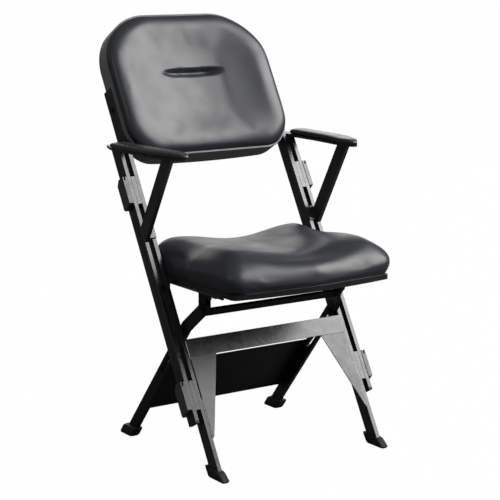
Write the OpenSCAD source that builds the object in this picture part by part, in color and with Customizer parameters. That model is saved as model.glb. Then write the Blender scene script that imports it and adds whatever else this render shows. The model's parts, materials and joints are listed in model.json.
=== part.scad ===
// Portable folding arena chair: X-frame with padded seat and back, arms and ganging clamps.
// Millimetres. X runs across the chair, the sitter faces -Y, Z is up, and Z = 0 is the floor.
// The frame stands unfolded. Drawn with Y = 0 at the front of the front feet, then centred in Y at the end.

/* [Frame] */
// Backward tilt of the uprights from vertical, degrees
tilt = 29.5; // [27:0.5:31]
// Where the front face of the uprights meets the floor
rail_y0 = 13.4; // [8:0.1:20]
// Width of each rail across the chair
rail_w = 10; // [8:1:11]
// Depth of each rail, front to back
rail_d = 32; // [28:1:34]
// Wall thickness of the rail tubes
rail_wall = 2; // [1.5:0.5:3]
// Half of the clear width between the inner rails
inner_x = 211; // [209:0.5:214]
// Gap between the inner and the outer rail of one side
rail_gap = 11; // [9:0.5:13]
// Length of the inner rails along their slope
inner_len = 928; // [900:1:960]
// Start of the outer rails along the slope
outer_s0 = 140; // [130:1:150]

/* [Rear legs] */
// Forward lean of the rear legs from vertical, degrees
lean = 39.5; // [38.5:0.5:40.5]
// Where the middle of the rear legs meets the floor
leg_y0 = 430; // [425:1:436]
// Depth of the rear legs
leg_d = 27; // [25:1:28]
// Inner face of the lower part of the rear legs
leg_low_x = 198; // [194:0.5:198]
// Inner face of the upper part of the rear legs
leg_up_x = 178; // [175:1:180]
// Distance from the top pin to the start of the sideways step
step_top = 14; // [14:1:24]
// Distance from the top pin to the end of the sideways step
step_end = 65; // [60:1:70]

/* [Seat] */
// Half width of the seat
seat_x = 208; // [203:0.5:208]
// Front edge of the seat pan
seat_y0 = -34; // [-38:1:0]
// How far the corners of the front edge lie behind its middle
seat_bow = 18; // [0:1:24]
// Rear edge of the seat pan
seat_y1 = 334; // [320:1:338]
// Underside of the rim of the seat pan
pan_z = 399; // [397:1:400]
// Height of the rim of the seat pan
pan_h = 11; // [10:0.5:14]
// Thickness of the cushion at its sides
seat_pad_h = 64; // [55:1:70]
// Depth of the hollow across the cushion
seat_dish = 18; // [8:1:20]
// Radius of the plan corners of the seat
seat_r = 14; // [12:1:50]

/* [Fold] */
// Height of the seat pivot pins
pivot_z = 382; // [381:0.5:383]
// Height of the top pins of the rear legs
hinge_z = 358; // [357:0.5:359]
// Fold of the seat, from open to folded, degrees
fold_max = 108; // [90:1:109]
// Share of the seat's turn that the rear legs make
leg_share = 0.53; // [0.525:0.005:0.535]

/* [Back] */
// Half width of the backrest
back_x = 219.5; // [216:0.5:226]
// Lower end of the backrest along the slope
back_s0 = 749; // [745:1:760]
// Upper end of the backrest along the slope
back_s1 = 1103; // [1090:1:1108]
// Radius of the upper corners of the backrest
back_top_r = 132; // [120:1:160]
// Radius of the lower corners of the backrest
back_low_r = 72; // [50:1:80]
// How far the sides of the back cushion stand in front of the rails
back_pad = 38; // [32:1:44]
// How far the middle of the back cushion lies behind its sides
back_dish = 24; // [8:1:28]
// Deepest point of the shell behind the front of the rails
shell_back = 47; // [44:1:52]

/* [Arms] */
// Underside of the arm plates
arm_z = 676; // [670:1:682]
// Thickness of the arm plates
arm_plate_h = 6; // [4:0.5:8]
// Thickness of the arm pads
arm_pad_h = 13; // [10:0.5:16]
// Height where the front of the strut meets the rail
strut_z = 481; // [470:1:495]
// Depth of the struts
strut_d = 31; // [24:1:32]

/* [Fasteners] */
// Diameter of the pivot and guide pins
pin_d = 8; // [6:0.5:8]
// Running clearance around a pin, on the radius
pin_fit = 0.08; // [0.02:0.01:0.1]
// Diameter of the clamp bolts
bolt_d = 6; // [4:0.5:6]

/* [Hidden] */

$fn = 48;
eps = 0.01;
big = 2000;
black = [0.08, 0.08, 0.09];
steel_grey = [0.35, 0.35, 0.38];
rubber = [0.12, 0.12, 0.12];
vinyl = [0.22, 0.23, 0.26];
zinc = [0.6, 0.6, 0.62];

// Outer rail, clamp and middle of the inner rail across the chair
outer_x = inner_x + rail_w + rail_gap;
clamp_x = outer_x + rail_w + 0.5;
clamp_w = 10.5;
inner_mid = inner_x + rail_w / 2;
// Clamp stretches along the rails
clamp_len = 67;
lower_s = 163;
upper_s = 644;
// Middle plane of the uprights, and the pins that lie on it
function rail_mid_y(z) = rail_y0 + tan(tilt) * z + rail_d / 2 / cos(tilt);
function leg_mid_y(z) = leg_y0 - tan(lean) * z;
guide_z = (leg_y0 - rail_mid_y(0)) / (tan(tilt) + tan(lean));
guide_y = leg_mid_y(guide_z);
pivot_y = rail_mid_y(pivot_z);
hinge_y = leg_mid_y(hinge_z);
hinge_r = norm([hinge_y - pivot_y, hinge_z - pivot_z]);
hinge_a = atan2(hinge_z - pivot_z, hinge_y - pivot_y);
leg_len = hinge_z / cos(lean);
leg_w = rail_w;
leg_up_w = leg_w;
// Path of the guide pin in the frame of a rear leg: [distance behind the middle, distance below the hinge]
function guide_path(a) =
  let (turn = a * leg_share,
       ty = pivot_y + hinge_r * cos(hinge_a - a),
       tz = pivot_z + hinge_r * sin(hinge_a - a),
       dir = lean - turn,
       dy = guide_y - ty,
       dz = guide_z - tz)
  [dy * cos(dir) + dz * sin(dir), -dy * sin(dir) + dz * cos(dir)];
guide_steps = 24;
guide_room = pin_d / 2 + 0.6;
// Front sheet parts
sheet_t = 2.5;
band_s0 = 280;
band_s1 = 321;
gusset_tip_s = 100;
gusset_top_x = 144;
// Arm outline, from the outside of the inner rail to the tip
arm_in_x = inner_x + rail_w + 1;
arm_rear_y = 447;
pad_rear_y = 400;
arm_mid_x = 245;
arm_tip_x = 228;
arm_tip_y = 136;
// Rear panel, measured along the rear legs down from the top pin
panel_t0 = 213;
panel_t1 = 390;
panel_t = 2;
bar_t0 = 13;
bar_t1 = 33;
bar_d = 8;
// Feet
front_foot_l = 58;
rear_foot_y0 = 403;
rear_foot_l = 54;
rear_foot_x = 206;
rear_foot_w = 25;
rear_foot_h = 24;

// ---- placing ----
mid_y = (rail_y0 + sin(tilt) * back_s1 + cos(tilt) * shell_back + seat_y0) / 2;
module centred() {
  translate([0, -mid_y, 0]) children();
}
module side(s) {
  if (s > 0) children();
  else mirror([1, 0, 0]) children();
}
// Local Y points behind the front face of the rails, local Z runs up the slope
module on_rail() {
  translate([0, rail_y0, 0]) rotate([-tilt, 0, 0]) children();
}
// Local Y points behind the middle of a rear leg, local Z runs up it, and the top pin is the origin
module on_leg() {
  translate([0, hinge_y, hinge_z]) rotate([lean, 0, 0]) children();
}
module box(x0, x1, y0, y1, z0, z1) {
  translate([x0, y0, z0]) cube([x1 - x0, y1 - y0, z1 - z0]);
}
module x_pin(x0, x1, y, z, d) {
  translate([x0, y, z]) rotate([0, 90, 0]) cylinder(h = x1 - x0, d = d);
}
module x_cone(x0, x1, y, z, d0, d1) {
  translate([x0, y, z]) rotate([0, 90, 0]) cylinder(h = x1 - x0, d1 = d0, d2 = d1);
}
module round_rect(x0, x1, y0, y1, r) {
  translate([x0 + r, y0]) square([x1 - x0 - 2 * r, y1 - y0]);
  translate([x0, y0 + r]) square([x1 - x0, y1 - y0 - 2 * r]);
  for (x = [x0 + r, x1 - r], y = [y0 + r, y1 - r]) translate([x, y]) circle(r);
}
// A plane shape in X and the slope direction, standing between two depths behind the rails
module slab(y0, y1) {
  translate([0, y1, 0]) rotate([90, 0, 0]) linear_extrude(y1 - y0) children();
}

// ---- uprights, outer rails, caps ----
module tube(x0, y0, y1, z0, z1) {
  difference() {
    box(x0, x0 + rail_w, y0, y1, z0, z1);
    box(x0 + rail_wall, x0 + rail_w - rail_wall, y0 + rail_wall, y1 - rail_wall, z0 - 1, z1 + 1);
  }
}
clamp_holes = [for (s0 = [lower_s, upper_s], k = [0.22, 0.78]) s0 + clamp_len * k];
module bolt_holes(x0, x1) {
  for (s = clamp_holes) on_rail() x_pin(x0, x1, rail_d / 2, s, bolt_d);
}
module upright() {
  color(black) difference() {
    on_rail() tube(inner_x, 0, rail_d, 4, inner_len - 4);
    box(-big, big, -big, big, -big, 3);
    x_pin(inner_x - 1, inner_x + rail_w + 1, pivot_y, pivot_z, pin_d);
    x_pin(inner_x - 1, inner_x + rail_w + 1, guide_y, guide_z, pin_d);
    bolt_holes(inner_x - 1, inner_x + rail_w + 1);
    for (s = back_bolt_s) on_rail() x_pin(inner_x - 1, inner_x + rail_w + 1, rail_d / 2, s, bolt_d);
  }
}
module outer_rail() {
  color(black) difference() {
    on_rail() tube(outer_x, 0, rail_d, outer_s0, 1000);
    box(-big, big, -big, big, arm_z, big);
    bolt_holes(outer_x - 1, outer_x + rail_w + 1);
  }
}
module cap_plug(x0, s0, s1, plug) {
  inset = rail_wall + 0.05;
  on_rail() union() {
    box(x0, x0 + rail_w, 0, rail_d, s0, s1);
    box(x0 + inset, x0 + rail_w - inset, inset, rail_d - inset, min(s0, plug), max(s1, plug));
  }
}
module upright_cap() {
  color(rubber) cap_plug(inner_x, inner_len - 4, inner_len, inner_len - 20);
}
module outer_cap() {
  color(rubber) cap_plug(outer_x, outer_s0 - 5, outer_s0, outer_s0 + 14);
}

// ---- ganging clamps ----
module spacer(s0) {
  color(black) difference() {
    on_rail() box(inner_x + rail_w, outer_x, 0, rail_d, s0, s0 + clamp_len);
    bolt_holes(inner_x + rail_w - 1, outer_x + 1);
  }
}
module clamp_profile(s0, hook) {
  // Side view of a clamp: depth behind the rails and place along the slope
  c = 11;
  polygon([[-1, s0 + 4], [rail_d - 14, s0 - 2], [rail_d - 10, s0 - hook], [rail_d - 4, s0 - hook],
           [rail_d - 1, s0 - 1],
           [rail_d - 1, s0 + clamp_len - c], [rail_d - 1 - c, s0 + clamp_len], [-1, s0 + clamp_len]]);
}
module clamp(s0, hook) {
  color(black) difference() {
    on_rail() translate([clamp_x - 0.5, 0, 0]) rotate([90, 0, 90])
      linear_extrude(clamp_w + 0.5) clamp_profile(s0, hook);
    on_rail() box(clamp_x + 4, clamp_x + 8, -2, 7, s0 + clamp_len - 9, s0 + clamp_len + 1);
    bolt_holes(clamp_x - 2, clamp_x + 6);
  }
}
module clamp_bolts() {
  // Countersunk bolts from the inner face of each upright into the clamps
  color(zinc) for (m = [-1, 1], s = clamp_holes) side(m) on_rail()
    x_pin(inner_x, clamp_x + 6, rail_d / 2, s, bolt_d);
}

// ---- front stretcher and gussets ----
module front_stretcher() {
  color(steel_grey) on_rail() box(-inner_x, inner_x, -sheet_t, 0, band_s0, band_s1);
}
module gusset() {
  color(steel_grey) on_rail() slab(-sheet_t, 0)
    polygon([[gusset_top_x, band_s0], [inner_x, band_s0], [inner_x, gusset_tip_s - 4],
             [inner_x - 4, gusset_tip_s]]);
}

// ---- feet ----
module foot_block(x0, x1) {
  // Wedge with a sloping front and a raised rear; the pairs are height and depth range
  hull() for (k = [[0, 2, front_foot_l - 1, 2.5], [3, 0, front_foot_l + 2, 0], [17, 17, 70, 0],
                   [22, 34, 74, 1.5]])
    translate([0, 0, k[0]]) linear_extrude(1) round_rect(x0 + k[3], x1 - k[3], k[1], k[2], 4);
}
module above_sole() {
  intersection() {
    children();
    box(-big, big, -big, big, 3, big);
  }
}
module front_foot() {
  color(rubber) difference() {
    foot_block(inner_x - 4, inner_x + rail_w + 5);
    above_sole() on_rail() box(inner_x, inner_x + rail_w, 0, rail_d, -60, 60);
  }
}
module rear_foot() {
  // Boot that leans with the leg
  up = rear_foot_h - 4;
  color(rubber) difference() {
    hull() for (z = [0, 4, up, rear_foot_h]) {
      inset = z == 0 || z == rear_foot_h ? 1.5 : 0;
      y = rear_foot_y0 - tan(lean) * z;
      translate([0, 0, min(z, rear_foot_h - 1)]) linear_extrude(1)
        round_rect(rear_foot_x - rear_foot_w / 2 + inset, rear_foot_x + rear_foot_w / 2 - inset,
                   y + inset, y + rear_foot_l - inset, 6);
    }
    above_sole() on_leg()
      box(leg_low_x, leg_low_x + leg_w, -leg_d / 2, leg_d / 2, -20 - leg_len, 60 - leg_len);
  }
}

// ---- arms ----
module arm_outline(inset, rear) {
  // Plan of an arm: straight behind, swept inwards to a rounded front
  hull() {
    translate([arm_mid_x + 2, rear - 12 + inset]) circle(18 - inset);
    translate([arm_mid_x - 3, 225]) circle(20 - inset);
    translate([arm_tip_x + 3, 176]) circle(21 - inset);
  }
  hull() {
    translate([arm_tip_x + 3, 176]) circle(21 - inset);
    translate([arm_tip_x, arm_tip_y + 12]) circle(12 - inset);
  }
}
module arm_plate() {
  color(black) difference() {
    translate([0, 0, arm_z]) linear_extrude(arm_plate_h) union() {
      intersection() {
        arm_outline(2, pad_rear_y);
        translate([-big, -big]) square([2 * big, big + 385]);
      }
      polygon([[arm_in_x, 250], [arm_mid_x + 17, 250], [arm_mid_x + 17, 400],
               [outer_x + rail_w + 2, arm_rear_y], [arm_in_x, arm_rear_y]]);
    }
    for (y = arm_screw_y) translate([arm_mid_x - 3, y, arm_z - 1]) cylinder(h = 20, d = 5);
  }
}
arm_screw_y = [221, 330];
module arm_pad() {
  color(black) difference() {
    hull() {
      translate([0, 0, arm_z + arm_plate_h]) linear_extrude(arm_pad_h - 4) arm_outline(0, pad_rear_y);
      translate([0, 0, arm_z + arm_plate_h]) linear_extrude(arm_pad_h) arm_outline(4, pad_rear_y);
    }
    for (y = arm_screw_y) translate([arm_mid_x - 3, y, arm_z]) cylinder(h = arm_plate_h + 8, d = 5);
  }
}
module arm_strut() {
  color(black) intersection() {
    translate([0, rail_y0 + tan(tilt) * strut_z, strut_z]) rotate([tilt, 0, 0])
      tube(outer_x, 0, strut_d, -80, 400);
    on_rail() box(-big, big, -big, 0, 0, big);
    box(-big, big, -big, big, 0, arm_z);
  }
}
module strut_plate() {
  // Flat tab that ties the foot of the strut to the inner rail
  color(black) on_rail() box(inner_x, outer_x, -4, 0, 560, 594);
}
module arm_screws() {
  color(zinc) for (m = [-1, 1], y = arm_screw_y) side(m) translate([arm_mid_x - 3, y, 0]) {
    translate([0, 0, arm_z - 2.2]) cylinder(h = 2.2, d = 9);
    translate([0, 0, arm_z]) cylinder(h = arm_plate_h + 7, d = 5);
  }
}

// ---- backrest ----
back_bolt_s = [800, 880];
module back_outline(half, grow) {
  // Front view of the backrest, in X and the slope direction
  x = half + grow;
  s0 = back_s0 - grow;
  s1 = back_s1 + grow;
  rt = back_top_r + grow;
  rb = back_low_r + grow;
  translate([-x, s0 + rb]) square([2 * x, s1 - rt - s0 - rb]);
  translate([-x + rt, s1 - rt - eps]) square([2 * (x - rt), rt + eps]);
  translate([-x + rb, s0]) square([2 * (x - rb), rb + eps]);
  for (m = [-1, 1]) {
    translate([m * (x - rt), s1 - rt]) circle(rt, $fn = 96);
    translate([m * (x - rb), s0 + rb]) circle(rb, $fn = 96);
  }
}
module shell_outline(grow) {
  // Full width above the tops of the uprights, and between them below
  difference() {
    back_outline(back_x - 1, grow);
    for (m = [-1, 1]) side(m)
      translate([inner_x - 0.4 + grow, -eps]) square([60, inner_len + 1 - grow]);
  }
}
shell_t = 4;
rim_d = 12;
shell_r = 1080;
module bowed(back, x1) {
  // Everything in front of a cylinder that bows the back towards the rear
  translate([0, back - shell_r, 700]) cylinder(h = 450, r = shell_r, $fn = 200);
}
module back_shell() {
  color(black) difference() {
    on_rail() difference() {
      intersection() {
        slab(2, 60) shell_outline(0);
        bowed(shell_back);
      }
      intersection() {
        slab(-10, 60) shell_outline(-shell_t);
        bowed(shell_back - shell_t);
      }
    }
    back_bolt_shape(inner_x - shell_t - 1, inner_x + 1);
  }
  // Rim that wraps the rear edge of the cushion
  color(black) on_rail() difference() {
    union() {
      slab(-rim_d, -0.4) back_outline(back_x - 1, 0);
      slab(-0.4 - eps, 2 + eps) shell_outline(0);
    }
    slab(-rim_d - 1, 3) shell_outline(-shell_t);
    slab(-rim_d - 1, 0) back_outline(back_x - 1, -shell_t);
  }
}
module back_cushion() {
  color(vinyl) on_rail() difference() {
    union() {
      slab(-back_pad, -rim_d - 0.2) back_outline(back_x, 0);
      slab(-rim_d - 0.2 - eps, -0.4) back_outline(back_x - 1, -shell_t - 0.2);
      intersection() {
        slab(-0.4 - eps, 60) shell_outline(-shell_t - 6);
        bowed(shell_back - shell_t - 2);
      }
    }
    // Hollow front
    translate([0, -back_pad + back_dish - 1400, 600]) cylinder(h = 600, r = 1400, $fn = 200);
  }
}
module back_bolt_shape(x0, x1) {
  for (m = [-1, 1], s = back_bolt_s) side(m) on_rail() x_pin(x0, x1, rail_d / 2, s, bolt_d);
}
module back_bolts() {
  color(zinc) {
    back_bolt_shape(inner_x - shell_t - 0.4, inner_x + rail_w);
    for (m = [-1, 1], s = back_bolt_s) side(m) on_rail()
      x_pin(inner_x + rail_w, inner_x + rail_w + 3, rail_d / 2, s, 11);
  }
}

// ---- pins on the uprights ----
module guide_pin() {
  // Stud that runs in the slot of the rear leg, with its spacer ring and its head
  color(zinc) {
    x_pin(leg_low_x - 1, inner_x + rail_w, guide_y, guide_z, pin_d);
    x_pin(leg_low_x + leg_w + 0.4, inner_x, guide_y, guide_z, 16);
    x_pin(leg_low_x - 4, leg_low_x - 0.6, guide_y, guide_z, 16);
  }
}
ear_t = 2;
ear_x = inner_x - 0.4 - ear_t;
module seat_pin() {
  color(zinc) {
    x_pin(ear_x - 0.1, inner_x + rail_w, pivot_y, pivot_z, pin_d);
    x_pin(inner_x + rail_w, inner_x + rail_w + 3, pivot_y, pivot_z, 14);
  }
}

// ---- seat ----
module seat_plan(grow) {
  bow_r = seat_x * seat_x / 2 / seat_bow;
  x = seat_x - seat_r;
  offset(r = seat_r + grow, $fn = 96) intersection() {
    translate([-x, seat_y0 + seat_r]) square([2 * x, seat_y1 - seat_y0 - 2 * seat_r]);
    translate([0, seat_y0 + bow_r]) circle(bow_r - seat_r, $fn = 400);
  }
}
pan_t = 2.5;
module seat_pan() {
  color(black) difference() {
    translate([0, 0, pan_z]) linear_extrude(pan_h) seat_plan(0);
    translate([0, 0, pan_z - 1]) linear_extrude(pan_h - pan_t + 1) seat_plan(-pan_t);
    for (m = [-1, 1]) side(m) rivet_shapes(4.4);
  }
}
module seat_cushion() {
  z0 = pan_z + pan_h + 0.2;
  color(vinyl) difference() {
    intersection() {
      translate([0, 0, z0]) linear_extrude(seat_pad_h) seat_plan(-0.5);
      // Waterfall front and rolled rear edge, in side view
      translate([-seat_x - 5, 0, z0 - 1]) rotate([90, 0, 90]) linear_extrude(2 * seat_x + 10)
        round_rect(seat_y0 - 1, seat_y1 + 1, -80, seat_pad_h - 2, 34);
    }
    translate([0, -60, z0 + seat_pad_h - seat_dish + 1250]) rotate([-90, 0, 0])
      cylinder(h = 460, r = 1250, $fn = 200);
    for (m = [-1, 1]) side(m) rivet_shapes(9);
  }
}
skirt_h = 5;
skirt_y0 = 24;
module seat_ear() {
  // Side plate that carries the seat on its pivot pin, with a strip that stiffens the edge of the pan
  color(black) difference() {
    union() {
      x_pin(ear_x, ear_x + ear_t, pivot_y, pivot_z, 26);
      box(ear_x, ear_x + ear_t, pivot_y - 13, pivot_y + 13, pivot_z, pan_z + pan_h - 1);
      box(seat_x, ear_x + ear_t, pivot_y - 34, pivot_y + 34, pan_z - skirt_h, pan_z + pan_h - 1);
      box(seat_x - 3, ear_x + ear_t, skirt_y0, pivot_y + 34, pan_z - skirt_h, pan_z);
    }
    x_pin(ear_x - 1, inner_x, pivot_y, pivot_z, pin_d + 2 * pin_fit);
  }
}
module leg_bracket() {
  // Channel under the pan that holds the top of a rear leg between two cheeks
  y0 = hinge_y - 37;
  y1 = hinge_y + 12;
  top = pan_z + pan_h - pan_t;
  color(black) difference() {
    union() {
      for (x = [leg_up_x - 3.5, leg_up_x + leg_up_w + 0.5]) union() {
        box(x, x + 3, y0, y1, hinge_z + 21, top - 2);
        x_pin(x, x + 3, hinge_y, hinge_z, 24);
        box(x, x + 3, hinge_y - 12, hinge_y + 12, hinge_z, hinge_z + 22);
      }
      box(leg_up_x - 12, leg_up_x + leg_up_w + 12, y0, y1, top - 2, top);
    }
    x_pin(leg_up_x - 8, leg_up_x + leg_up_w + 8, hinge_y, hinge_z, pin_d);
    rivet_shapes(4.4);
  }
}
rivet_y = [hinge_y - 30, hinge_y + 5];
module rivet_shapes(d) {
  for (x = [leg_up_x - 7.5, leg_up_x + leg_up_w + 7.5], y = rivet_y)
    translate([x, y, pan_z + pan_h - pan_t - 4]) cylinder(h = pan_t + 6, d = d);
}
module seat_rivets() {
  top = pan_z + pan_h;
  color(zinc) for (m = [-1, 1]) side(m)
    for (x = [leg_up_x - 7.5, leg_up_x + leg_up_w + 7.5], y = rivet_y)
      translate([x, y, 0]) {
        translate([0, 0, top - pan_t - 2 - 1.8]) cylinder(h = 1.8, d = 7);
        translate([0, 0, top - pan_t - 2]) cylinder(h = pan_t + 2, d = 4.4);
        translate([0, 0, top]) cylinder(h = 1.4, d = 7);
      }
}

// ---- rear legs ----
module leg_side_view() {
  // Side view of a rear leg: round about the top pin, cut level with the foot
  circle(leg_d / 2);
  translate([-leg_d / 2, -leg_len - 20]) square([leg_d, leg_len + 20]);
}
module leg_slot() {
  // Slot that follows the guide pin through the whole fold
  path = [for (i = [0:guide_steps]) guide_path(fold_max * i / guide_steps)];
  n = len(path) - 1;
  function way(i) =
    let (d = path[min(i + 1, n)] - path[max(i - 1, 0)]) atan2(d[1], d[0]);
  function out_at(i, turn) = path[i] + guide_room * [cos(way(i) + turn), sin(way(i) + turn)];
  polygon(concat([for (i = [0:n]) out_at(i, 90)],
                 [for (k = [1:11]) out_at(n, 90 - 15 * k)],
                 [for (i = [n:-1:0]) out_at(i, -90)],
                 [for (k = [1:11]) out_at(0, -90 - 15 * k)]));
}
module leg_front_view() {
  // Front view of a rear leg, with its sideways step
  polygon([[leg_up_x, 30], [leg_up_x, -step_top], [leg_low_x, -step_end], [leg_low_x, -leg_len - 30],
           [leg_low_x + leg_w, -leg_len - 30], [leg_low_x + leg_w, -step_end],
           [leg_up_x + leg_up_w, -step_top], [leg_up_x + leg_up_w, 30]]);
}
module rear_leg() {
  color(black) difference() {
    on_leg() intersection() {
      translate([0, leg_d, 0]) rotate([90, 0, 0]) linear_extrude(2 * leg_d) leg_front_view();
      translate([leg_up_x - 5, 0, 0]) rotate([90, 0, 90]) linear_extrude(60) difference() {
        leg_side_view();
        leg_slot();
      }
    }
    x_pin(leg_up_x - 1, leg_up_x + leg_up_w + 1, hinge_y, hinge_z, pin_d + 2 * pin_fit);
    box(-big, big, -big, big, -big, 3);
  }
}
module leg_pin() {
  color(zinc) {
    x_pin(leg_up_x - 3.5, leg_up_x + leg_up_w + 3.5, hinge_y, hinge_z, pin_d);
    x_pin(leg_up_x - 6, leg_up_x - 3.5, hinge_y, hinge_z, 13);
    x_pin(leg_up_x + leg_up_w + 3.5, leg_up_x + leg_up_w + 6, hinge_y, hinge_z, 13);
  }
}
module rear_crossbar() {
  // Flat bar between the rear legs; its ends follow the sideways step
  low_x = leg_up_x + (leg_low_x - leg_up_x) * (bar_t1 - step_top) / (step_end - step_top);
  color(black) on_leg() slab(-bar_d / 2, bar_d / 2) polygon([
    [leg_up_x, -bar_t0], [leg_up_x, -step_top], [low_x, -bar_t1],
    [-low_x, -bar_t1], [-leg_up_x, -step_top], [-leg_up_x, -bar_t0]]);
}
module rear_panel() {
  color(black) difference() {
    on_leg() union() {
      box(-leg_low_x, leg_low_x, leg_d / 2 - panel_t, leg_d / 2, -panel_t1, -panel_t0);
      for (m = [-1, 1]) side(m)
        box(leg_low_x - 2, leg_low_x, leg_d / 2 - 16, leg_d / 2 - panel_t, -panel_t1, -panel_t0 - 24);
    }
    panel_screw_holes(4);
  }
}
panel_screw_t = [0.22, 0.56, 0.9];
module panel_screw_holes(d) {
  for (m = [-1, 1], k = panel_screw_t) side(m) on_leg()
    x_pin(leg_low_x - 3, leg_low_x + 3, leg_d / 2 - 9, -panel_t0 - (panel_t1 - panel_t0) * k, d);
}
module panel_screws() {
  color(zinc) for (m = [-1, 1], k = panel_screw_t) side(m) on_leg() {
    t = -panel_t0 - (panel_t1 - panel_t0) * k;
    x_pin(leg_low_x - 2, leg_low_x, leg_d / 2 - 9, t, 4);
    x_pin(leg_low_x - 4, leg_low_x - 2, leg_d / 2 - 9, t, 8);
  }
}

// ---- the chair ----
centred() side(-1) upright();  // left_upright
centred() side(1) upright();  // right_upright
centred() side(-1) outer_rail();  // left_outer_rail
centred() side(1) outer_rail();  // right_outer_rail
centred() side(-1) upright_cap();  // left_upright_cap
centred() side(1) upright_cap();  // right_upright_cap
centred() side(-1) outer_cap();  // left_outer_cap
centred() side(1) outer_cap();  // right_outer_cap
centred() side(-1) spacer(upper_s);  // left_upper_spacer
centred() side(1) spacer(upper_s);  // right_upper_spacer
centred() side(-1) spacer(lower_s);  // left_lower_spacer
centred() side(1) spacer(lower_s);  // right_lower_spacer
centred() side(-1) clamp(upper_s, 5);  // left_upper_clamp
centred() side(1) clamp(upper_s, 5);  // right_upper_clamp
centred() side(-1) clamp(lower_s, 6);  // left_lower_clamp
centred() side(1) clamp(lower_s, 6);  // right_lower_clamp
centred() clamp_bolts();
centred() front_stretcher();
centred() side(-1) gusset();  // left_gusset
centred() side(1) gusset();  // right_gusset
centred() side(-1) front_foot();  // left_front_foot
centred() side(1) front_foot();  // right_front_foot
centred() side(-1) arm_plate();  // left_arm_plate
centred() side(1) arm_plate();  // right_arm_plate
centred() side(-1) arm_pad();  // left_arm_pad
centred() side(1) arm_pad();  // right_arm_pad
centred() side(-1) arm_strut();  // left_arm_strut
centred() side(1) arm_strut();  // right_arm_strut
centred() side(-1) strut_plate();  // left_strut_plate
centred() side(1) strut_plate();  // right_strut_plate
centred() arm_screws();
centred() back_shell();
centred() back_cushion();
centred() back_bolts();
centred() side(-1) guide_pin();  // left_guide_pin
centred() side(1) guide_pin();  // right_guide_pin
centred() side(-1) seat_pin();  // left_seat_pin
centred() side(1) seat_pin();  // right_seat_pin
centred() seat_pan();
centred() seat_cushion();
centred() side(-1) seat_ear();  // left_seat_ear
centred() side(1) seat_ear();  // right_seat_ear
centred() side(-1) leg_bracket();  // left_leg_bracket
centred() side(1) leg_bracket();  // right_leg_bracket
centred() seat_rivets();
centred() side(-1) rear_leg();  // left_rear_leg
centred() side(1) rear_leg();  // right_rear_leg
centred() side(-1) leg_pin();  // left_leg_pin
centred() side(1) leg_pin();  // right_leg_pin
centred() rear_crossbar();
centred() rear_panel();
centred() panel_screws();
centred() side(-1) rear_foot();  // left_rear_foot
centred() side(1) rear_foot();  // right_rear_foot
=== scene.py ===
"""Looks of the portable folding arena chair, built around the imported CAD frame."""
import json
import math

import bmesh
import bpy
import numpy as np
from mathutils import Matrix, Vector


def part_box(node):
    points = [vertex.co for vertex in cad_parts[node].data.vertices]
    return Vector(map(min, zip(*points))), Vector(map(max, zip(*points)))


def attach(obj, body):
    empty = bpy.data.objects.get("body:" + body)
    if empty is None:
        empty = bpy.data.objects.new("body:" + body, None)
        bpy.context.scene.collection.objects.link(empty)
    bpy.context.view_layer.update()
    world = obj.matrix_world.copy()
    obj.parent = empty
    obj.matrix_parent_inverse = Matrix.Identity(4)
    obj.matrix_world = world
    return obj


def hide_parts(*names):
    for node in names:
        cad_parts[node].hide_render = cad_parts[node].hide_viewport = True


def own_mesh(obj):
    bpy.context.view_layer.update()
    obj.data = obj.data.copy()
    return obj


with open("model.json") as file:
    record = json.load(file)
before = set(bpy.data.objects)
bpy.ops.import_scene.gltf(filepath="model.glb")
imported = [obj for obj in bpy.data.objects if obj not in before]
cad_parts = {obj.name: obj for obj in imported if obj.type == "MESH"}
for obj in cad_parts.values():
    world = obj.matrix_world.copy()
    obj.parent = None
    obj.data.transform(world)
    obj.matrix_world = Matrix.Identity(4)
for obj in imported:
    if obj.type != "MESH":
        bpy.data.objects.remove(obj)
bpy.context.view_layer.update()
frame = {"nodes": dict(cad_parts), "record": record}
nodes = frame["nodes"]

MM = 0.001
TILT = math.radians(29.5)  # backward tilt of the uprights
SIN, COS = math.sin(TILT), math.cos(TILT)
PAN_LOW, PAN_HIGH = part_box("seat_pan")
FRONT_Y = PAN_LOW.y + 34 * MM  # front of the front feet, where the CAD drawing has Y = 0
RAIL_Y = FRONT_Y + 13.4 * MM  # front face of the uprights at the floor
SIDES = {"left": -1, "right": 1}


def on_rail(x, off, s):
    """A point given in mm across the chair, behind the uprights' front face and up their slope."""
    return Vector((x * MM, RAIL_Y + (SIN * s + COS * off) * MM, (COS * s - SIN * off) * MM))


# ---- camera ----
LENS = 115.2
VIEW_TURN, VIEW_RISE = math.radians(-34.27), math.radians(10.73)
cam_data = bpy.data.cameras.new("camera")
cam_data.lens, cam_data.sensor_width = LENS, 36
camera = bpy.data.objects.new("camera", cam_data)
bpy.context.scene.collection.objects.link(camera)
back = Vector((math.sin(VIEW_TURN) * math.cos(VIEW_RISE),
               -math.cos(VIEW_TURN) * math.cos(VIEW_RISE), math.sin(VIEW_RISE)))
camera.location = (-2.0068, FRONT_Y - 2.7162, 1.1228)
camera.rotation_mode = "QUATERNION"
camera.rotation_quaternion = (-back).to_track_quat("-Z", "Y")
cam_data.clip_start, cam_data.clip_end = 0.05, 100
bpy.context.scene.camera = camera


# ---- materials ----
def ramp(tree, source, low, high):
    """Colours between low and high, across the middle of a texture's range."""
    node = tree.nodes.new("ShaderNodeValToRGB")
    for stop, position, color in zip(node.color_ramp.elements, (0.35, 0.65), (low, high)):
        stop.position = position
        stop.color = (*color, 1)
    tree.links.new(source, node.inputs["Fac"])
    return node.outputs["Color"]


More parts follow.
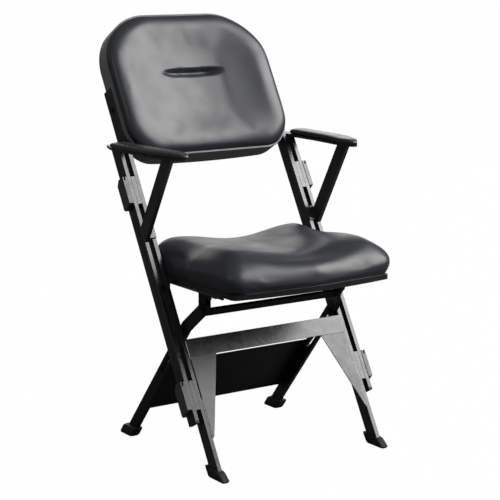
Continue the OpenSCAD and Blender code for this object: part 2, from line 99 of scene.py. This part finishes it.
def texture(tree, kind, scale, detail=3.0):
    """A noise or cell texture on the piece's own coordinates, in features per metre."""
    place = tree.nodes.new("ShaderNodeTexCoord").outputs["Object"]
    if kind == "cells":
        node = tree.nodes.new("ShaderNodeTexVoronoi")
        node.feature = "DISTANCE_TO_EDGE"
        out = node.outputs["Distance"]
    else:
        node = tree.nodes.new("ShaderNodeTexNoise")
        node.inputs["Detail"].default_value = detail
        out = node.outputs["Fac"]
    node.inputs["Scale"].default_value = scale
    tree.links.new(place, node.inputs["Vector"])
    return out


def bump(tree, source, strength, distance, under=None):
    node = tree.nodes.new("ShaderNodeBump")
    node.inputs["Strength"].default_value = strength
    node.inputs["Distance"].default_value = distance
    tree.links.new(source, node.inputs["Height"])
    if under:
        tree.links.new(under, node.inputs["Normal"])
    return node.outputs["Normal"]


def finish_of(name, dark, light, rough, grain, metallic=0.0, specular=0.5, patch=14):
    """A procedural finish. rough is its lowest and highest roughness; grain is a list of bump layers,
    each (kind, features per metre, strength, height in metres); patch is how many light and dark
    patches it has per metre."""
    mat = bpy.data.materials.new(name)
    mat.use_nodes = True
    tree = mat.node_tree
    shader = tree.nodes["Principled BSDF"]
    shader.inputs["Metallic"].default_value = metallic
    shader.inputs["Specular IOR Level"].default_value = specular
    tree.links.new(ramp(tree, texture(tree, "noise", patch, 4), dark, light),
                   shader.inputs["Base Color"])
    low, high = rough
    tree.links.new(ramp(tree, texture(tree, "noise", patch * 3.1, 5), (low,) * 3, (high,) * 3),
                   shader.inputs["Roughness"])
    normal = None
    for kind, scale, strength, height in grain:
        normal = bump(tree, texture(tree, kind, scale), strength, height, normal)
    if normal:
        tree.links.new(normal, shader.inputs["Normal"])
    return mat


POWDER = [("noise", 1500, 0.10, 0.0002), ("noise", 260, 0.05, 0.0006)]
frame_paint = finish_of("frame_paint", (0.012, 0.012, 0.013), (0.018, 0.018, 0.019), (0.26, 0.33),
                        POWDER, specular=0.85)
# painted shade: a near-black, duller copy of the frame paint for the rear parts under the seat
rear_paint_painted_shade = finish_of("rear_paint_painted_shade", (0.003, 0.003, 0.004), (0.005, 0.005, 0.006), (0.36, 0.44),
                       POWDER, specular=0.3)
brace_paint = finish_of("brace_paint", (0.065, 0.065, 0.068), (0.08, 0.08, 0.084), (0.24, 0.31),
                        POWDER, specular=0.7)
gusset_paint = finish_of("gusset_paint", (0.12, 0.12, 0.126), (0.145, 0.145, 0.152), (0.34, 0.42),
                         POWDER, specular=0.7)
clamp_paint = finish_of("clamp_paint", (0.05, 0.05, 0.053), (0.065, 0.065, 0.068), (0.30, 0.38),
                        POWDER, specular=0.7)
pan_paint = finish_of("pan_paint", (0.010, 0.010, 0.012), (0.015, 0.015, 0.017), (0.34, 0.42), POWDER)
VINYL = [("cells", 950, 0.10, 0.0002), ("noise", 420, 0.06, 0.0003)]
back_vinyl = finish_of("back_vinyl", (0.024, 0.026, 0.031), (0.030, 0.032, 0.039), (0.29, 0.35),
                       VINYL, patch=7)
# painted light: a slightly lighter copy of the back's vinyl, to brighten the seat's lit front
seat_vinyl = finish_of("seat_vinyl", (0.024, 0.026, 0.031), (0.032, 0.034, 0.041), (0.35, 0.42),
                       VINYL, patch=7)
shell_plastic = finish_of("shell_plastic", (0.17, 0.17, 0.175), (0.2, 0.2, 0.205), (0.48, 0.56),
                          [("cells", 700, 0.15, 0.0003), ("noise", 1400, 0.1, 0.0002)])
pad_plastic = finish_of("arm_pad", (0.045, 0.045, 0.047), (0.055, 0.055, 0.057), (0.24, 0.31),
                        [("cells", 800, 0.12, 0.0003), ("noise", 300, 0.05, 0.0005)])
rubber = finish_of("foot_rubber", (0.010, 0.010, 0.010), (0.018, 0.018, 0.018), (0.55, 0.7),
                   [("noise", 900, 0.2, 0.0003)], specular=0.4)
cap_plastic = finish_of("cap_plastic", (0.010, 0.010, 0.011), (0.014, 0.014, 0.015), (0.45, 0.55),
                        [("noise", 900, 0.12, 0.0003)])
steel = finish_of("fastener_steel", (0.03, 0.03, 0.032), (0.05, 0.05, 0.052), (0.34, 0.46),
                  [("noise", 1200, 0.1, 0.0002)], metallic=1.0, patch=120)
BY_SLOT = {"frame_paint": frame_paint, "brace_paint": brace_paint, "clamp_paint": clamp_paint,
           "pan_paint": pan_paint, "back_vinyl": back_vinyl, "seat_vinyl": seat_vinyl,
           "shell_plastic": shell_plastic, "arm_pad": pad_plastic, "foot_rubber": rubber,
           "cap_plastic": cap_plastic, "fastener_steel": steel}

# pieces whose look differs from the rest of their slot; the rear parts get a near-black, duller copy
# of the frame paint, painted shade where they sit under the seat
OWN_FINISH = {name: rear_paint_painted_shade
              for name in ("rear_panel", "rear_crossbar", "left_rear_leg", "right_rear_leg",
                           "left_leg_bracket", "right_leg_bracket")}
OWN_FINISH.update(left_gusset=gusset_paint, right_gusset=gusset_paint)

slot_of = {row["node"]: row["material_slot"] for row in frame["record"]["subparts"]}
# width of the rounded edges in mm, by slot
EDGE = {"foot_rubber": 2.0, "cap_plastic": 0.8, "clamp_paint": 1.2, "brace_paint": 0.5,
        "shell_plastic": 1.2, "pan_paint": 0.8, "fastener_steel": 0.5}
PLAIN_EDGE = 0.9
for name, obj in nodes.items():
    obj.data.materials.clear()
    obj.data.materials.append(OWN_FINISH.get(name) or BY_SLOT[slot_of[name]])
    weld = obj.modifiers.new("weld", "WELD")
    weld.merge_threshold = 0.00002
    bevel = obj.modifiers.new("edges", "BEVEL")
    bevel.width = EDGE.get(slot_of[name], PLAIN_EDGE) * MM
    bevel.segments, bevel.limit_method, bevel.angle_limit = 2, "ANGLE", math.radians(32)
    bevel.harden_normals = True


# ---- soft pieces ----
def resampled(points, count):
    """A closed outline as count points evenly spaced along it."""
    p = np.array(points + points[:1], float)
    run = np.concatenate([[0], np.cumsum(np.linalg.norm(np.diff(p, axis=0), axis=1))])
    at = np.linspace(0, run[-1], count, endpoint=False)
    return np.stack([np.interp(at, run, p[:, k]) for k in (0, 1)], 1)


def rounded(x0, x1, y0, y1, r_low, r_high):
    """Rounded rectangle, starting at the middle of its low side, counterclockwise."""
    points = [((x0 + x1) / 2, y0)]
    corners = [(x1 - r_low, y0 + r_low, r_low, -90), (x1 - r_high, y1 - r_high, r_high, 0),
               (x0 + r_high, y1 - r_high, r_high, 90), (x0 + r_low, y0 + r_low, r_low, 180)]
    for cx, cy, r, a0 in corners:
        for k in range(25):
            a = math.radians(a0 + 90 * k / 24)
            points.append((cx + r * math.cos(a), cy + r * math.sin(a)))
    return points


def piece_from(bm, name, smooth=True):
    """Turns a bmesh into an object in the scene."""
    bmesh.ops.recalc_face_normals(bm, faces=bm.faces)
    mesh = bpy.data.meshes.new(name)
    bm.to_mesh(mesh)
    bm.free()
    for face in mesh.polygons:
        face.use_smooth = smooth
    obj = bpy.data.objects.new(name, mesh)
    bpy.context.scene.collection.objects.link(obj)
    return obj


class Pillow:
    """A closed form between a front and a back surface over one outline, as clean quads.

    The outline is mapped from a square grid, n cells from its middle to each side, whose rings
    crowd towards the edge."""

    def __init__(self, outline, n=30, crowd=1.6):
        self.n = n
        # the grid's perimeter has 8n points; it starts at the middle of the low side
        self.ring = resampled(outline, 8 * n)
        self.centre = (self.ring.min(0) + self.ring.max(0)) / 2
        self.crowd = crowd

    def plane_points(self):
        """The grid's points laid over the outline."""
        n = self.n
        pts = np.zeros((2 * n + 1, 2 * n + 1, 2))
        for i in range(-n, n + 1):
            for j in range(-n, n + 1):
                m = max(abs(i), abs(j))
                if m == 0:
                    pts[i + n, j + n] = self.centre
                    continue
                pi, pj = i * n / m, j * n / m  # on the perimeter
                if m == -j:
                    t = pi
                elif m == i:
                    t = n + (pj + n)
                elif m == j:
                    t = 3 * n + (n - pi)
                else:
                    t = 5 * n + (n - pj)
                k = t % (8 * n)
                k0 = int(math.floor(k))
                f = k - k0
                edge = self.ring[k0 % (8 * n)] * (1 - f) + self.ring[(k0 + 1) % (8 * n)] * f
                share = 1 - (1 - m / n) ** self.crowd
                pts[i + n, j + n] = self.centre + (edge - self.centre) * share
        return pts

    def edge_distance(self, pts):
        """How far each point stands from the outline."""
        a = self.ring
        b = np.roll(a, -1, 0)
        d = b - a
        flat = pts.reshape(-1, 2)
        best = np.full(len(flat), 1e9)
        for k in range(len(a)):
            w = flat - a[k]
            t = np.clip((w @ d[k]) / (d[k] @ d[k]), 0, 1)
            best = np.minimum(best, np.linalg.norm(w - t[:, None] * d[k], axis=1))
        return best.reshape(pts.shape[:2])

    def build(self, name, front, rear, place, r_front, r_rear, walls):
        """front and rear give depths in mm over the plane; place turns (a, b, depth) into a point.

        r_front and r_rear are the reach and the depth of the rounding; the front's vary over the
        outline. walls is how many rows of points the sides have."""
        n = self.n
        size = 2 * n + 1
        pts = self.plane_points()
        dist = self.edge_distance(pts)

        def drop(reach, depth):
            """A quarter ellipse down from full height to the edge."""
            near = np.clip(1 - dist / reach, 0, None)
            return depth * (1 - np.sqrt(np.clip(1 - near * near, 0, None)))

        a, b = pts[..., 0], pts[..., 1]
        reach, depth = r_front
        front_d = front(a, b) - drop(reach(a, b), depth(a, b))
        rear_d = rear(a, b) + drop(*r_rear)
        bm = bmesh.new()
        top, low = ([[bm.verts.new(place(a[i, j], b[i, j], depths[i, j])) for j in range(size)]
                     for i in range(size)] for depths in (front_d, rear_d))
        for i in range(size - 1):
            for j in range(size - 1):
                bm.faces.new((top[i][j], top[i + 1][j], top[i + 1][j + 1], top[i][j + 1]))
                bm.faces.new((low[i][j], low[i][j + 1], low[i + 1][j + 1], low[i + 1][j]))
        last = size - 1
        rim = ([(i, 0) for i in range(last)] + [(last, j) for j in range(last)]
               + [(i, last) for i in range(last, 0, -1)] + [(0, j) for j in range(last, 0, -1)])
        rows = [[top[i][j] for i, j in rim]]
        for k in range(1, walls + 1):
            f = k / (walls + 1)
            rows.append([bm.verts.new(top[i][j].co.lerp(low[i][j].co, f)) for i, j in rim])
        rows.append([low[i][j] for i, j in rim])
        count = len(rim)
        for upper, lower in zip(rows, rows[1:]):
            for k in range(count):
                after = (k + 1) % count
                bm.faces.new((upper[k], lower[k], lower[after], upper[after]))
        return piece_from(bm, name, smooth=False)


def coords(obj):
    co = np.empty(len(obj.data.vertices) * 3, np.float32)
    obj.data.vertices.foreach_get("co", co)
    return co.reshape(-1, 3).astype(float)


def set_coords(obj, co):
    obj.data.vertices.foreach_set("co", np.asarray(co, np.float32).ravel())
    obj.data.update()


def stuff(obj, held, cap, pressure, frames=20):
    """Swells a cushion with a pressure cloth run.

    held marks the vertices that stay, and the travel of the others levels off at cap."""
    before = coords(obj)
    group = obj.vertex_groups.new(name="held")
    for k in np.nonzero(held(before))[0]:
        group.add([int(k)], 1.0, "REPLACE")
    cloth = obj.modifiers.new("cloth", "CLOTH")
    s = cloth.settings
    s.quality, s.mass, s.tension_stiffness, s.compression_stiffness = 6, 0.4, 40, 40
    s.shear_stiffness, s.bending_stiffness, s.air_damping = 20, 6, 4
    s.use_pressure, s.uniform_pressure_force = True, pressure
    s.vertex_group_mass = "held"
    s.effector_weights.gravity = 0
    scene = bpy.context.scene
    cloth.point_cache.frame_start, cloth.point_cache.frame_end = 1, frames
    for f in range(1, frames + 1):
        scene.frame_set(f)
    shown = obj.evaluated_get(bpy.context.evaluated_depsgraph_get())
    after = np.array([v.co for v in shown.data.vertices], float)
    obj.modifiers.remove(cloth)
    scene.frame_set(1)
    step = after - before
    far = np.linalg.norm(step, axis=1)
    step *= (cap / (cap + far))[:, None]
    set_coords(obj, before + step)


def subdivide(obj):
    mod = obj.modifiers.new("smooth", "SUBSURF")
    mod.levels = mod.render_levels = 1
    bpy.context.view_layer.update()
    shown = obj.evaluated_get(bpy.context.evaluated_depsgraph_get())
    mesh = bpy.data.meshes.new_from_object(shown)
    obj.modifiers.clear()
    obj.data = mesh
    for p in mesh.polygons:
        p.use_smooth = True


def give(obj, material, slot, body, *stands_for):
    """Gives a piece its look and body, and hides the CAD nodes it stands for; its slot is not used.
    """
    obj.data.materials.clear()
    obj.data.materials.append(material)
    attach(obj, body)
    if stands_for:
        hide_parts(*stands_for)


def ease(t):
    """A smooth step from 0 to 1."""
    t = np.clip(t, 0, 1)
    return t * t * (3 - 2 * t)


# back cushion: hollowed across, thick at the sides, with a hand recess
BACK_HALF, BACK_LOW, BACK_TOP = 214.2, 753.6, 1098.2
BACK_MIDDLE, BACK_THICK, BACK_HOLLOW = 925, 39.5, 26
back_outline = rounded(-BACK_HALF, BACK_HALF, BACK_LOW, BACK_TOP, 72, 130)


def back_front(x, s):
    """Depth of the padding's face at x across and s up the slope."""
    hollow = BACK_HOLLOW * np.clip(1 - (x / 208) ** 2, 0, None)
    ends = 1 - 0.7 * ease((np.abs(s - BACK_MIDDLE) - 60) / 120)  # the hollow fades up and down
    roll = 8 * ease((860 - s) / 110) + 5 * ease((s - 1000) / 100)
    return BACK_THICK - hollow * ends - roll


def back_place(x, s, n):
    return on_rail(x, -n, s)


def off_and_up(co):
    """For points in metres, mm behind the uprights' front face and mm up their slope."""
    rel_y, rel_z = (co[:, 1] - RAIL_Y) / MM, co[:, 2] / MM
    return rel_y * COS - rel_z * SIN, rel_y * SIN + rel_z * COS


back_cushion = Pillow(back_outline).build(
    "back_cushion_cover", back_front, lambda x, s: 0 * x + 1.0, back_place,
    (lambda x, s: 44, lambda x, s: 17 + 3 * ease((830 - s) / 60)), (3, 2), walls=5)
stuff(back_cushion, lambda co: ((co[:, 1] - RAIL_Y) * COS - co[:, 2] * SIN) / MM > -17,
      1.6 * MM, pressure=2.0)
subdivide(back_cushion)

# the padding swells over the rim of the shell
co = coords(back_cushion)
off, s_at = off_and_up(co)
swell = 2.6 * ease((-off - 12.5) / 6) * (1 - 0.5 * ease((-off - 22) / 14))
co[:, 0] += co[:, 0] / (BACK_HALF * MM) * swell * MM
up = (s_at - 926) / 173 * swell * MM
co[:, 1] += up * SIN
co[:, 2] += up * COS
set_coords(back_cushion, co)

# the hand recess: a soft crease, steeper at its upper lip and tapered at its ends
GRIP_X, GRIP_S, GRIP_DEPTH, GRIP_REACH = 84.0, 953.0, 12.0, 13.0
GRIP_ABOVE, GRIP_TAPER = 0.62 * GRIP_REACH, 48
co = coords(back_cushion)
off, s_at = off_and_up(co)
past = np.clip(np.abs(co[:, 0] / MM) - GRIP_X + 44, 0, None)
above = s_at - GRIP_S
away = np.where(above < 0, -above / GRIP_REACH, above / GRIP_ABOVE)
sink = GRIP_DEPTH * (1 - ease(np.hypot(past / GRIP_TAPER, away))) ** 0.8
front_only = co[:, 1] < RAIL_Y + SIN * s_at * MM - 4 * MM
push = np.where(off < 0, sink, 0) * MM * front_only
co[:, 1] += push * COS
co[:, 2] -= push * SIN
set_coords(back_cushion, co)
give(back_cushion, back_vinyl, "back_vinyl", "frame", "back_cushion")

# seat cushion: waterfall front, raised sides and rear corners
SEAT_HALF, SEAT_BOW = 207.0, 18.0
SEAT_FRONT, SEAT_REAR = PAN_LOW.y / MM + 1, PAN_HIGH.y / MM - 1
PAN_TOP = PAN_HIGH.z / MM
seat_outline = [(x, y + SEAT_BOW * (x / SEAT_HALF) ** 2 * float(ease((SEAT_FRONT + 70 - y) / 60)))
                for x, y in rounded(-SEAT_HALF, SEAT_HALF, SEAT_FRONT, SEAT_REAR, 30, 40)]


# height of the padding at its sides and along its middle, from front to rear
SEAT_RUN = [-40, 0, 24, 54, 85, 140, 200, 250, 315, 362]
SIDE_HEIGHT = [440, 452, 470, 486, 490, 488, 480, 481, 486, 482]
MIDDLE_HEIGHT = [455, 461, 465, 468, 468, 464, 460, 462, 465, 467]


def seat_top(x, y):
    run = y - SEAT_FRONT  # mm behind the front edge
    side = np.interp(run, SEAT_RUN, SIDE_HEIGHT)
    middle = np.interp(run, SEAT_RUN, MIDDLE_HEIGHT)
    t = ease(np.abs(x) / 172)
    return middle + (side - middle) * t


def seat_nose(x, y):
    """1 along the middle of the front edge, 0 at the sides and further back."""
    return ease((SEAT_FRONT + 110 - y) / 60) * ease((205 - np.abs(x)) / 70)


def smooth_seat(x, y):
    """The top averaged over 60 mm from front to rear."""
    steps = (-30, -20, -10, 0, 10, 20, 30)
    return sum(seat_top(x, y + d) for d in steps) / len(steps)


seat_cushion = Pillow(seat_outline).build(
    "seat_cushion_cover", smooth_seat, lambda x, y: 0 * x + PAN_TOP + 0.6,
    lambda x, y, z: Vector((x * MM, y * MM, z * MM)),
    (lambda x, y: 50 - 20 * seat_nose(x, y), lambda x, y: 36 + 3 * seat_nose(x, y)), (4, 3), walls=4)
stuff(seat_cushion, lambda co: co[:, 2] < PAN_TOP * MM + 9 * MM, 7 * MM, pressure=3.0)
# the padding bulges over the rim ahead of the uprights
SIDE_BULGE, FRONT_BULGE = 15, 6
co = coords(seat_cushion)
rise = (co[:, 2] / MM - PAN_TOP) / 70
belly = np.sin(np.pi * np.clip(rise * 0.92 + 0.06, 0, 1))
ahead = ease((SEAT_FRONT + 235 - co[:, 1] / MM) / 70)
edge_x = ease((np.abs(co[:, 0] / MM) - 120) / 80)
co[:, 0] += np.sign(co[:, 0]) * SIDE_BULGE * MM * (belly * ahead) * edge_x
front_pull = ease((SEAT_FRONT + 60 - co[:, 1] / MM) / 50)
co[:, 1] -= FRONT_BULGE * MM * belly * front_pull
set_coords(seat_cushion, co)
subdivide(seat_cushion)
give(seat_cushion, seat_vinyl, "seat_vinyl", "seat", "seat_cushion")
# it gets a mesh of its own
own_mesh(seat_cushion)


# arm pads: crowned, swept inwards to a rounded tip
def loft(name, stations, ring):
    """A closed form through stations; ring turns a station into its ring of points."""
    bm = bmesh.new()
    rows = [[bm.verts.new(p) for p in ring(*s)] for s in stations]
    count = len(rows[0])
    for lower, upper in zip(rows, rows[1:]):
        for k in range(count):
            bm.faces.new((lower[k], lower[(k + 1) % count], upper[(k + 1) % count], upper[k]))
    bm.faces.new(rows[0])
    bm.faces.new(rows[-1])
    return piece_from(bm, name)


def smooth_stations(keys, count):
    """Stations between keys, which are rows of numbers led by the place along the loft."""
    k = np.array(keys, float)
    at = np.linspace(0, 1, count)
    where = k[0, 0] + (k[-1, 0] - k[0, 0]) * at
    order = np.argsort(k[:, 0])
    columns = [np.interp(where, k[order, 0], k[order, c]) for c in range(1, k.shape[1])]
    rows = np.stack([where] + columns, 1)
    for _ in range(2):
        rows[1:-1, 1:] = (rows[:-2, 1:] + 2 * rows[1:-1, 1:] + rows[2:, 1:]) / 4
    return rows


PAD_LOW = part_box("left_arm_pad")[0].z / MM
PAD_RING, PAD_STATIONS = 36, 60
# mm behind the front feet, inner edge, outer edge, height
PAD_KEYS = [(135.5, 221, 231, 5), (138, 218, 234, 8.5), (144, 215, 238, 10.5),
            (152, 213, 242, 11.5), (165, 211, 247, 12.2), (180, 212, 252, 12.6),
            (200, 216, 257, 13), (232, 221, 262, 13), (300, 224, 264.5, 13.2),
            (380, 226.5, 267.5, 13.2), (393, 228, 266.5, 12.4), (399, 232, 263, 9)]
for side_name, sign in SIDES.items():
    def pad_ring(y, x_in, x_out, height, sign=sign):
        middle, half = (x_in + x_out) / 2, (x_out - x_in) / 2
        points = []
        for k in range(PAD_RING):
            a = 2 * math.pi * k / PAD_RING
            c, s = math.cos(a), math.sin(a)
            wide = abs(c) ** 0.55 * (1 if c > 0 else -1)
            tall = abs(s) ** (0.62 if s > 0 else 0.3) * (1 if s > 0 else -1)
            z = PAD_LOW + height * (0.5 + 0.5 * tall)
            points.append((sign * (middle + half * wide) * MM, FRONT_Y + y * MM, z * MM))
        return points

    pad = loft(side_name + "_pad_cover", smooth_stations(PAD_KEYS, PAD_STATIONS), pad_ring)
    give(pad, pad_plastic, "arm_pad", "frame", side_name + "_arm_pad")

# trim bead along the seam between the seat cushion and its pan
BEAD_STATIONS, BEAD_RING = 320, 8
BEAD_OUT, BEAD_WIDE, BEAD_TALL = 0.4, 1.5, 1.3
bead_line = resampled(seat_outline, BEAD_STATIONS)


def bead_ring(k):
    here = bead_line[k % BEAD_STATIONS]
    way = bead_line[(k + 1) % BEAD_STATIONS] - bead_line[(k - 1) % BEAD_STATIONS]
    way = way / np.linalg.norm(way)
    out = np.array([way[1], -way[0]])
    ring = []
    for a in np.linspace(0, 2 * math.pi, BEAD_RING + 1)[:-1]:
        x, y = here + out * (BEAD_OUT + BEAD_WIDE * math.cos(a))
        ring.append((x * MM, y * MM, (PAN_TOP + 0.6 + BEAD_TALL * math.sin(a)) * MM))
    return ring


bm = bmesh.new()
rings = [[bm.verts.new(p) for p in bead_ring(k)] for k in range(BEAD_STATIONS)]
for k in range(BEAD_STATIONS):
    here, ahead = rings[k], rings[(k + 1) % BEAD_STATIONS]
    for j in range(BEAD_RING):
        beside = (j + 1) % BEAD_RING
        bm.faces.new((here[j], here[beside], ahead[beside], ahead[j]))
bead = piece_from(bm, "seat_bead")
give(bead, cap_plastic, "cap_plastic", "seat")

# ---- stage ----
FLOOR, FLOOR_Z = 60.0, -0.5 * MM
floor_mesh = bpy.data.meshes.new("floor")
floor_mesh.from_pydata([(-FLOOR, -FLOOR, FLOOR_Z), (FLOOR, -FLOOR, FLOOR_Z), (FLOOR, FLOOR, FLOOR_Z),
                        (-FLOOR, FLOOR, FLOOR_Z)], [], [(0, 1, 2, 3)])
floor = bpy.data.objects.new("floor", floor_mesh)
bpy.context.scene.collection.objects.link(floor)
floor_mat = bpy.data.materials.new("floor")
floor_mat.use_nodes = True
tree = floor_mat.node_tree
shader = tree.nodes["Principled BSDF"]
shader.inputs["Base Color"].default_value = (0.12, 0.12, 0.12, 1)
shader.inputs["Roughness"].default_value = 0.9
shader.inputs["Specular IOR Level"].default_value = 0.1
seen = tree.nodes.new("ShaderNodeLightPath").outputs["Is Camera Ray"]
paper = tree.nodes.new("ShaderNodeEmission")
paper.inputs["Strength"].default_value = 1.02
both = tree.nodes.new("ShaderNodeMixShader")
dim = tree.nodes.new("ShaderNodeMath")
dim.operation = "MULTIPLY"
dim.inputs[1].default_value = 0.975
tree.links.new(seen, dim.inputs[0])
tree.links.new(dim.outputs[0], both.inputs["Fac"])
tree.links.new(shader.outputs["BSDF"], both.inputs[1])
tree.links.new(paper.outputs["Emission"], both.inputs[2])
tree.links.new(both.outputs["Shader"], tree.nodes["Material Output"].inputs["Surface"])
floor.data.materials.append(floor_mat)

world = bpy.data.worlds.new("world")
bpy.context.scene.world = world
world.use_nodes = True
tree = world.node_tree
sky = tree.nodes["Background"]
path = tree.nodes.new("ShaderNodeLightPath")
glow = tree.nodes.new("ShaderNodeMix")
glow.inputs["A"].default_value = 0.22
glow.inputs["B"].default_value = 1.0
tree.links.new(path.outputs["Is Camera Ray"], glow.inputs["Factor"])
tree.links.new(glow.outputs["Result"], sky.inputs["Strength"])
sky.inputs["Color"].default_value = (1, 1, 1, 1)


def softbox(name, place, aim, width, height, power):
    data = bpy.data.lights.new(name, "AREA")
    data.shape, data.size, data.size_y, data.energy = "RECTANGLE", width, height, power
    obj = bpy.data.objects.new(name, data)
    bpy.context.scene.collection.objects.link(obj)
    obj.location = place
    obj.rotation_mode = "QUATERNION"
    obj.rotation_quaternion = (Vector(aim) - Vector(place)).to_track_quat("-Z", "Y")


AIM = (0, 0, 0.6)


def towards(turn, rise, distance):
    """The place turn degrees from +X towards the front and rise degrees up, seen from AIM."""
    a, e = math.radians(turn), math.radians(rise)
    return (AIM[0] + distance * math.cos(a) * math.cos(e),
            AIM[1] - distance * math.sin(a) * math.cos(e),
            AIM[2] + distance * math.sin(e))


softbox("key", towards(33, 35, 5.5), AIM, 3.1, 3.4, 300)
softbox("rim", towards(-58, 17, 5), AIM, 4.6, 2.6, 46)
softbox("fill", towards(150, 45, 5), AIM, 1.5, 1.5, 12)

scene = bpy.context.scene
scene.view_settings.view_transform = "Standard"
scene.view_settings.look = "None"
